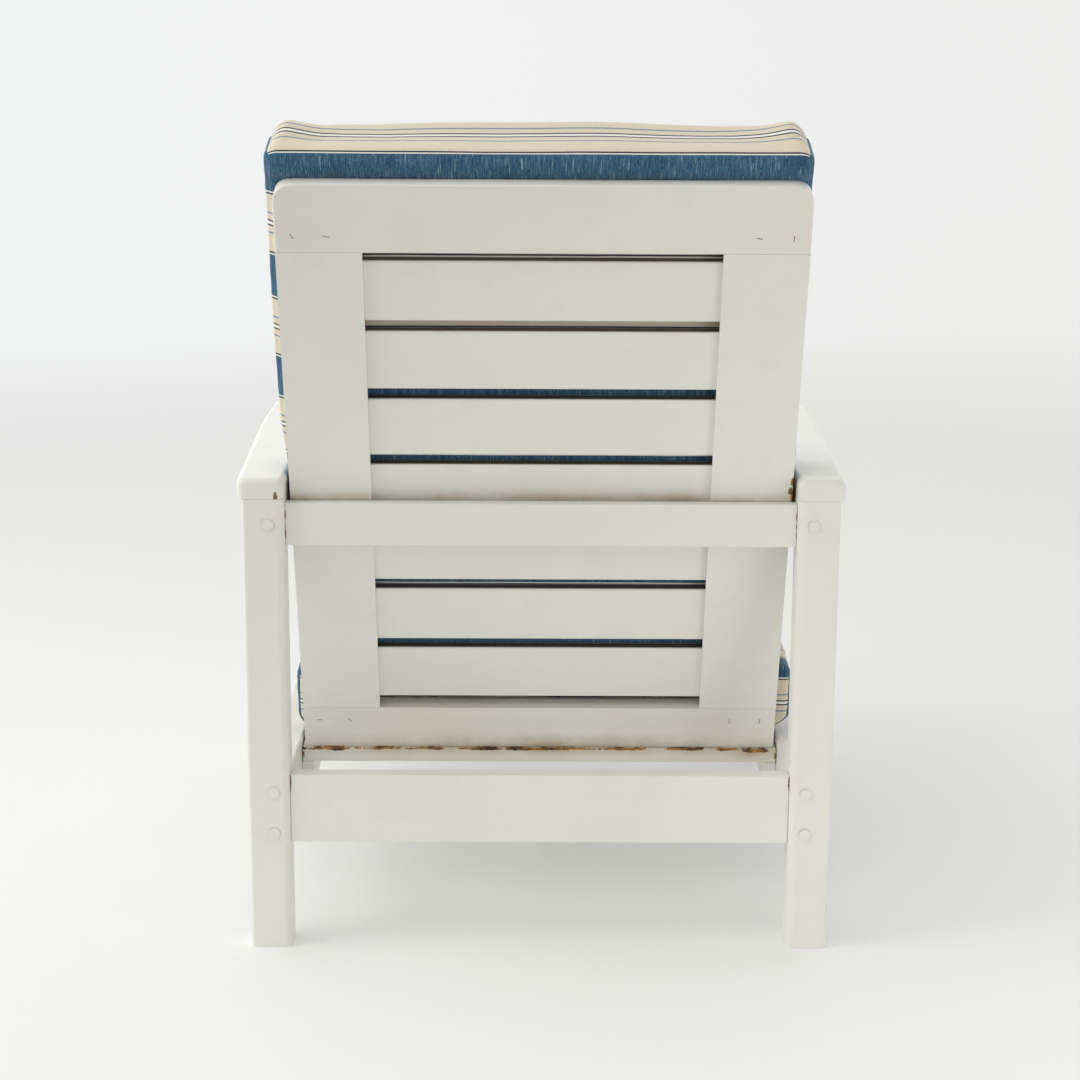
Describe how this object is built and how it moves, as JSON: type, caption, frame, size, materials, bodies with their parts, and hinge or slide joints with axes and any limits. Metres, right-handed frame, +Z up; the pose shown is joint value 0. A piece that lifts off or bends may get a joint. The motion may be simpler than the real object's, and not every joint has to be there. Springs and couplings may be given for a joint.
{
  "type": "patio armchair",
  "caption": "Slatted wooden patio armchair with flat bowed arms, reclined slatted back and two loose box cushions.",
  "frame": {"origin": "on the floor under the middle of the chair's bounding box, with both cushions in place", "axes": "+Z up, -Y the way the sitter faces, +X the sitter's left"},
  "size_m": [0.758, 0.9096, 0.9861],
  "materials": {
    "painted_wood": "satin cream paint, worn at the edges",
    "painted_screw": "painted over with the wood",
    "ticking_fabric": "woven blue and cream stripe"
  },
  "bodies": {
    "frame": {"arm_rail_left": "painted_wood", "arm_rail_right": "painted_wood", "armrest_left": "painted_wood", "armrest_right": "painted_wood", "back_bottom_rail": "painted_wood", "back_screw_bottom_left_inner": "painted_screw", "back_screw_bottom_left_outer": "painted_screw", "back_screw_bottom_right_inner": "painted_screw", "back_screw_bottom_right_outer": "painted_screw", "back_screw_top_left_inner": "painted_screw", "back_screw_top_left_outer": "painted_screw", "back_screw_top_right_inner": "painted_screw", "back_screw_top_right_outer": "painted_screw", "back_slat_1": "painted_wood", "back_slat_2": "painted_wood", "back_slat_3": "painted_wood", "back_slat_4": "painted_wood", "back_slat_5": "painted_wood", "back_slat_6": "painted_wood", "back_slat_7": "painted_wood", "back_stile_left": "painted_wood", "back_stile_right": "painted_wood", "back_support_rail": "painted_wood", "back_top_rail": "painted_wood", "front_apron": "painted_wood", "front_leg_left": "painted_wood", "front_leg_left_lower_plug": "painted_wood", "front_leg_left_middle_plug": "painted_wood", "front_leg_left_upper_plug": "painted_wood", "front_leg_right": "painted_wood", "front_leg_right_lower_plug": "painted_wood", "front_leg_right_middle_plug": "painted_wood", "front_leg_right_upper_plug": "painted_wood", "rear_lower_rail": "painted_wood", "rear_post_left": "painted_wood", "rear_post_left_lower_plug": "painted_wood", "rear_post_left_middle_plug": "painted_wood", "rear_post_left_upper_plug": "painted_wood", "rear_post_right": "painted_wood", "rear_post_right_lower_plug": "painted_wood", "rear_post_right_middle_plug": "painted_wood", "rear_post_right_upper_plug": "painted_wood", "seat_cleat_left": "painted_wood", "seat_cleat_right": "painted_wood", "seat_slat_1": "painted_wood", "seat_slat_2": "painted_wood", "seat_slat_3": "painted_wood", "seat_slat_4": "painted_wood", "seat_slat_5": "painted_wood", "seat_slat_6": "painted_wood", "seat_slat_7": "painted_wood", "seat_slat_8": "painted_wood", "side_rail_left": "painted_wood", "side_rail_right": "painted_wood"},
    "seat_cushion_body": {"seat_cushion": "ticking_fabric"},
    "back_cushion_body": {"back_cushion": "ticking_fabric"}
  },
  "joints": [
    {"name": "seat_cushion_slide", "type": "slide", "parent": "frame", "child": "seat_cushion_body", "axis": [0, -0.9925, 0.1219], "range_m": [0, 0.62]},
    {"name": "back_cushion_lift", "type": "slide", "parent": "frame", "child": "back_cushion_body", "axis": [0, 0.3299, 0.944], "range_m": [0, 0.34]}
  ]
}
